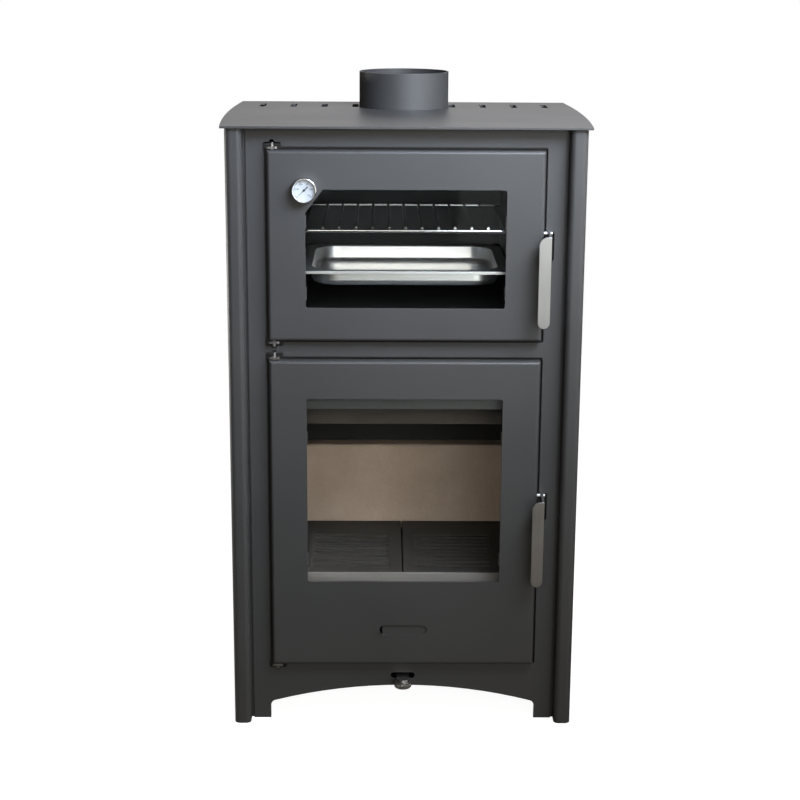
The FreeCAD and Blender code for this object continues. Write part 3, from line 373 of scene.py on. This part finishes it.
# lengths are shares of the dial's radius
dialSpec = {"ticks": 31, "longEvery": 6, "sweep": 270.0, "outer": 0.93, "longTick": 0.19, "shortTick": 0.10,
            "tickWidth": 0.026, "longWidth": 0.045, "lift": 0.004, "numbers": (0, 100, 200, 300, 400, 500),
            "numberPlace": 0.60, "numberSize": 0.20}


def dialTurn(share):
    return math.radians(dialSpec["sweep"] * (share - 0.5))


def dialSpot(middle, front, radius, turn):
    return Vector((middle.x + radius * math.sin(turn), front, middle.z + radius * math.cos(turn)))


# printed tick ring and plain numbers on the thermometer's face
def buildDialPrint():
    middle, low, high = boxOf("thermometer_dial")
    radius = (high.x - low.x) / 2
    ticks = bmesh.new()
    for index in range(dialSpec["ticks"]):
        isLong = index % dialSpec["longEvery"] == 0
        length = radius * dialSpec["longTick" if isLong else "shortTick"]
        width = radius * dialSpec["longWidth" if isLong else "tickWidth"]
        turn = dialTurn(index / (dialSpec["ticks"] - 1))
        spot = dialSpot(middle, low.y, radius * dialSpec["outer"] - length / 2, turn)
        size = Matrix.Diagonal((width, 2 * radius * dialSpec["lift"], length, 1))
        placed = Matrix.Translation(spot) @ Matrix.Rotation(turn, 4, "Y") @ size
        bmesh.ops.create_cube(ticks, size=1.0, matrix=placed)
    addPiece("dialTicks", ticks, "oven_door", "needle_black")
    numerals = bmesh.new()
    for index, number in enumerate(dialSpec["numbers"]):
        text = bpy.data.curves.new("dialNumber", "FONT")
        text.body = str(number)
        text.size = radius * dialSpec["numberSize"]
        text.align_x = "CENTER"
        text.align_y = "CENTER"
        text.extrude = radius * dialSpec["lift"]
        flat = meshFrom(text)
        turn = dialTurn(index / (len(dialSpec["numbers"]) - 1))
        spot = dialSpot(middle, low.y, radius * dialSpec["numberPlace"], turn)
        flat.transform(Matrix.Translation(spot) @ Matrix.Rotation(math.pi / 2, 4, "X"))
        numerals.from_mesh(flat)
    addPiece("dialNumerals", numerals, "oven_door", "needle_black")


buildDialPrint()
print("dial printed")

# round-headed screws with a sunk drive; shares are of the head's radius and height
screwSpec = {"radius": 0.0036, "height": 0.0021, "segments": 20, "crown": 0.72, "rim": 0.30, "rise": 0.12,
             "drive": 0.12, "driveDepth": 0.38, "clipInset": 0.0045, "clipEnd": 0.009, "clipThick": 0.0015,
             "shieldRadius": 0.0035}


def addScrew(mesh, spot, radius, height):
    head = bmesh.new()
    bmesh.ops.create_cone(head, cap_ends=True, segments=screwSpec["segments"], radius1=radius,
                          radius2=radius * screwSpec["crown"], depth=height)
    bmesh.ops.translate(head, vec=(0, 0, height / 2), verts=head.verts)
    top = [max(head.faces, key=lambda face: face.calc_center_median().z)]
    for ring, rise in (("rim", screwSpec["rise"]), ("drive", -screwSpec["driveDepth"])):
        bmesh.ops.inset_region(head, faces=top, thickness=radius * screwSpec[ring], depth=height * rise)
    placed = Matrix.Translation(spot) @ Matrix.Rotation(-math.pi / 2, 4, "X")
    bmesh.ops.transform(head, matrix=placed, verts=head.verts)
    made = bpy.data.meshes.new("screw")
    head.to_mesh(made)
    head.free()
    mesh.from_mesh(made)
    bpy.data.meshes.remove(made)


def buildClipScrews(node, body):
    low, high = boxOf(node)[1:]
    mesh = bmesh.new()
    for x in (low.x + screwSpec["clipInset"], high.x - screwSpec["clipInset"]):
        for z in (low.z + screwSpec["clipEnd"], high.z - screwSpec["clipEnd"]):
            addScrew(mesh, (x, low.y + screwSpec["clipThick"], z), screwSpec["radius"], screwSpec["height"])
    addPiece(node + "_screws", mesh, body, "bright_steel")


def buildShieldScrews():
    middle, low, high = boxOf("shield_screws")
    radius = screwSpec["shieldRadius"]
    mesh = bmesh.new()
    for x in (low.x + radius, high.x - radius):
        for z in (low.z + radius, middle.z, high.z - radius):
            addScrew(mesh, (x, low.y, z), radius, (high.y - low.y) / (1 + screwSpec["rise"]))
    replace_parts(addPiece("shield_screw_heads", mesh, "stove_body", "bright_steel"), "shield_screws")


buildClipScrews("oven_glass_clips", "oven_door")
buildClipScrews("fire_glass_clips", "fire_door")
buildShieldScrews()
print("screws set")

# half outline of the air knob from its top down, as shares of its radius and height
knobSpec = {"ridges": 30, "ridgeDepth": 0.08, "ridgeFrom": 0.97, "weld": 1e-6,
            "outline": ((0.0, 0.0), (0.80, 0.0), (0.92, 0.06), (0.92, 0.26), (0.80, 0.34), (1.0, 0.42),
                        (1.0, 0.88), (0.90, 1.0), (0.35, 1.0), (0.30, 0.86), (0.0, 0.86))}


def buildKnob():
    middle, low, high = boxOf("air_knob")
    radius = (high.x - low.x) / 2
    mesh = bmesh.new()
    verts = [mesh.verts.new((middle.x + out * radius, middle.y, high.z - down * (high.z - low.z)))
             for out, down in knobSpec["outline"]]
    edges = [mesh.edges.new(pair) for pair in zip(verts, verts[1:])]
    bmesh.ops.spin(mesh, geom=verts + edges, cent=middle, axis=(0, 0, 1), angle=2 * math.pi,
                   steps=2 * knobSpec["ridges"], use_merge=True)
    bmesh.ops.remove_doubles(mesh, verts=mesh.verts, dist=knobSpec["weld"])
    for vert in mesh.verts:
        arm = Vector((vert.co.x - middle.x, vert.co.y - middle.y, 0))
        step = round(math.atan2(arm.y, arm.x) * knobSpec["ridges"] / math.pi)
        if arm.length > radius * knobSpec["ridgeFrom"] and step % 2:
            vert.co -= arm * knobSpec["ridgeDepth"]
    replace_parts(addPiece("air_knob_knurled", mesh, "air_register", "handle_steel"), "air_knob")


buildKnob()
print("knob knurled")

# a pale floor and white sky to the eye, dimmer in the light they throw back
studioSpec = {"floorRadius": 2.2, "floorSegments": 96, "floorGlow": 0.95, "floorPale": (0.33, 0.37),
              "floorCloud": {"Scale": 3.0, "Detail": 2.0}, "floorRough": 0.9, "floorShine": 0.1,
              "floorBounce": (0.220, 0.190, 0.155, 1), "sky": (1.0, 0.86, 0.66, 1), "skyStrength": 0.06}
# place, target, width and height, watts, colour, cone in degrees
lampSpec = {
    "keyLamp": ((0.52, -0.86, 1.42), (0.14, -0.19, 0.92), (0.9, 0.5), 5.4, (0.66, 0.78, 1.0), 60.0),
    "rightLamp": ((0.60, -0.55, 1.30), (0.22, -0.19, 0.84), (0.5, 0.4), 1.9, (0.94, 0.93, 0.88), 60.0),
    "windowLamp": ((0.4, -3.2, 1.5), (0.0, -0.1, 0.7), (2.8, 0.9), 29.0, (1.0, 0.95, 0.88), 180.0),
    "lowLamp": ((1.5, -3.2, 0.5), (0.0, -0.1, 0.7), (2.8, 0.8), 19.0, (0.90, 0.94, 0.92), 180.0),
    "sideLamp": ((2.2, -0.8, 0.9), (0.1, -0.19, 0.6), (1.4, 1.4), 10.0, (1.0, 0.92, 0.80), 180.0),
    "leftLamp": ((-2.2, 0.6, 0.25), (-0.25, 0.05, 0.42), (1.0, 0.4), 6.0, (1.0, 0.97, 0.93), 90.0),
    "topLamp": ((0.1, 0.1, 2.3), (0.0, 0.05, 0.8), (0.8, 0.8), 3.0, (1.0, 0.97, 0.93), 180.0),
    "backLamp": ((0.0, 3.0, 1.7), (0.0, 0.2, 0.8), (2.0, 1.6), 10.0, (1.0, 0.97, 0.97), 180.0),
    "rearLamp": ((0.0, 2.0, 0.40), (0.0, 0.2, 0.40), (0.2, 0.5), 1.5, (1.0, 0.97, 0.93), 60.0),
}


# 1 for rays that come straight from the eye or only through glass, 0 for light that has bounced;
# the sky counts as one bounce more than a surface does
def seenStraight(tree, ownBounces):
    path = tree.nodes.new("ShaderNodeLightPath").outputs
    bounces = calc(tree, "SUBTRACT", path["Ray Depth"], path["Transmission Depth"])
    straight = calc(tree, "LESS_THAN", bounces, ownBounces + 0.5)
    eye = calc(tree, "MAXIMUM", path["Is Camera Ray"], path["Is Transmission Ray"])
    return calc(tree, "MULTIPLY", eye, straight)


def buildFloor():
    mesh = bmesh.new()
    bmesh.ops.create_circle(mesh, cap_ends=True, segments=studioSpec["floorSegments"],
                            radius=studioSpec["floorRadius"])
    data = bpy.data.meshes.new("studioFloor")
    mesh.to_mesh(data)
    mesh.free()
    floor = bpy.data.objects.new("studioFloor", data)
    bpy.context.scene.collection.objects.link(floor)
    material, tree, pale = newMaterial("paleFloor")
    place = tree.nodes.new("ShaderNodeTexCoord").outputs["Object"]
    cloud = texture(tree, "ShaderNodeTexNoise", place, **studioSpec["floorCloud"]).outputs["Fac"]
    low, high = studioSpec["floorPale"]
    tone = newNode(tree, "ShaderNodeMapRange", To_Min=low, To_Max=high)
    tree.links.new(cloud, tone.inputs["Value"])
    tree.links.new(tone.outputs["Result"], pale.inputs["Base Color"])
    pale.inputs["Roughness"].default_value = studioSpec["floorRough"]
    pale.inputs["Specular IOR Level"].default_value = studioSpec["floorShine"]
    pale.inputs["Emission Color"].default_value = grey(1.0)
    pale.inputs["Emission Strength"].default_value = studioSpec["floorGlow"]
    dim = newNode(tree, "ShaderNodeBsdfDiffuse", Color=studioSpec["floorBounce"])
    pick = tree.nodes.new("ShaderNodeMixShader")
    tree.links.new(seenStraight(tree, 0), pick.inputs["Fac"])
    tree.links.new(dim.outputs["BSDF"], pick.inputs[1])
    tree.links.new(pale.outputs["BSDF"], pick.inputs[2])
    tree.links.new(pick.outputs["Shader"], tree.nodes["Material Output"].inputs["Surface"])
    data.materials.append(material)


def buildSky():
    world = bpy.data.worlds.new("studioSky")
    world.use_nodes = True
    tree = world.node_tree
    shed = tree.nodes["Background"]
    shed.inputs["Color"].default_value = studioSpec["sky"]
    shed.inputs["Strength"].default_value = studioSpec["skyStrength"]
    seen = newNode(tree, "ShaderNodeBackground", Color=grey(1.0))
    pick = tree.nodes.new("ShaderNodeMixShader")
    tree.links.new(seenStraight(tree, 1), pick.inputs["Fac"])
    tree.links.new(shed.outputs["Background"], pick.inputs[1])
    tree.links.new(seen.outputs["Background"], pick.inputs[2])
    tree.links.new(pick.outputs["Shader"], tree.nodes["World Output"].inputs["Surface"])
    bpy.context.scene.world = world


def addLamp(name, place, target, size, watts, color, cone):
    light = bpy.data.lights.new(name, "AREA")
    light.shape = "RECTANGLE"
    light.size, light.size_y = size
    light.energy = watts
    light.color = color
    light.spread = math.radians(cone)
    lamp = bpy.data.objects.new(name, light)
    lamp.location = place
    lamp.rotation_euler = (Vector(target) - Vector(place)).to_track_quat("-Z", "Y").to_euler()
    lamp.visible_camera = False
    bpy.context.scene.collection.objects.link(lamp)


# the photograph's standpoint; angles in degrees
cameraSpec = {"place": (-0.0331, -2.4221, 1.0501), "pitch": 14.498, "yaw": 0.682, "roll": 0.366, "lens": 77.2,
              "sensor": 36.0}


def buildCamera():
    pitch, yaw, roll = (math.radians(cameraSpec[key]) for key in ("pitch", "yaw", "roll"))
    ahead = Vector((math.sin(yaw) * math.cos(pitch), math.cos(yaw) * math.cos(pitch), -math.sin(pitch)))
    right = Vector((math.cos(yaw), -math.sin(yaw), 0))
    up = right.cross(ahead)
    rolledRight = math.cos(roll) * right + math.sin(roll) * up
    rolledUp = math.cos(roll) * up - math.sin(roll) * right
    lens = bpy.data.cameras.new("photoCamera")
    lens.lens = cameraSpec["lens"]
    lens.sensor_width = cameraSpec["sensor"]
    camera = bpy.data.objects.new("photoCamera", lens)
    turn = Matrix((rolledRight, rolledUp, -ahead)).transposed().to_4x4()
    camera.matrix_world = Matrix.Translation(cameraSpec["place"]) @ turn
    bpy.context.scene.collection.objects.link(camera)
    bpy.context.scene.camera = camera


buildFloor()
buildSky()
for lampName, values in lampSpec.items():
    addLamp(lampName, *values)
bpy.context.scene.view_settings.view_transform = "Standard"
buildCamera()
print("studio ready")
